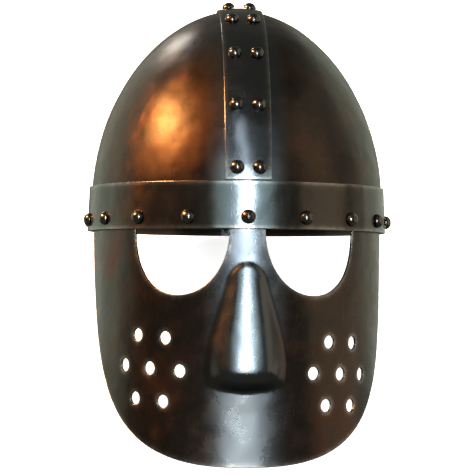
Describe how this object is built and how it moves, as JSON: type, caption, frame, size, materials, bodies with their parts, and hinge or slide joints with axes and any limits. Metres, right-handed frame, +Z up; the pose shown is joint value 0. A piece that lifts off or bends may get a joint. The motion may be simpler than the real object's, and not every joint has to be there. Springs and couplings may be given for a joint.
{
  "type": "riveted helmet with a face mask",
  "caption": "Steel helmet of riveted plates with a brow band, a comb band and a full face mask with a raised nose, open eyes and pierced cheeks.",
  "frame": {"origin": "middle of the helmet's bounding box on the surface that it rests on", "axes": "+Z up from that surface, +X to the wearer's left, -Y the way the face looks, tipped back so that it looks up by about 34 degrees"},
  "size_m": [0.2118, 0.3144, 0.2187],
  "materials": {
    "skull_steel": "oil-blackened steel sheet, satin, with brown tarnish",
    "band_steel": "oil-blackened steel strip, satin, rubbed brighter in front",
    "mask_steel": "oil-blackened steel sheet, satin, planished, with reddish tarnish",
    "rivet_steel": "smooth dark steel, semi-gloss"
  },
  "bodies": {
    "root": {"brow_band": "band_steel", "brow_rivet_01": "rivet_steel", "brow_rivet_02": "rivet_steel", "brow_rivet_03": "rivet_steel", "brow_rivet_04": "rivet_steel", "brow_rivet_05": "rivet_steel", "brow_rivet_06": "rivet_steel", "brow_rivet_07": "rivet_steel", "brow_rivet_08": "rivet_steel", "brow_rivet_09": "rivet_steel", "brow_rivet_10": "rivet_steel", "brow_rivet_11": "rivet_steel", "brow_rivet_12": "rivet_steel", "brow_rivet_13": "rivet_steel", "brow_rivet_14": "rivet_steel", "brow_rivet_15": "rivet_steel", "brow_rivet_16": "rivet_steel", "brow_rivet_17": "rivet_steel", "brow_rivet_18": "rivet_steel", "comb_band": "band_steel", "comb_rivet_left_01": "rivet_steel", "comb_rivet_left_02": "rivet_steel", "comb_rivet_left_03": "rivet_steel", "comb_rivet_left_04": "rivet_steel", "comb_rivet_left_05": "rivet_steel", "comb_rivet_left_06": "rivet_steel", "comb_rivet_left_07": "rivet_steel", "comb_rivet_left_08": "rivet_steel", "comb_rivet_left_09": "rivet_steel", "comb_rivet_right_01": "rivet_steel", "comb_rivet_right_02": "rivet_steel", "comb_rivet_right_03": "rivet_steel", "comb_rivet_right_04": "rivet_steel", "comb_rivet_right_05": "rivet_steel", "comb_rivet_right_06": "rivet_steel", "comb_rivet_right_07": "rivet_steel", "comb_rivet_right_08": "rivet_steel", "comb_rivet_right_09": "rivet_steel", "face_mask": "mask_steel", "skull_left": "skull_steel", "skull_right": "skull_steel"}
  },
  "joints": []
}
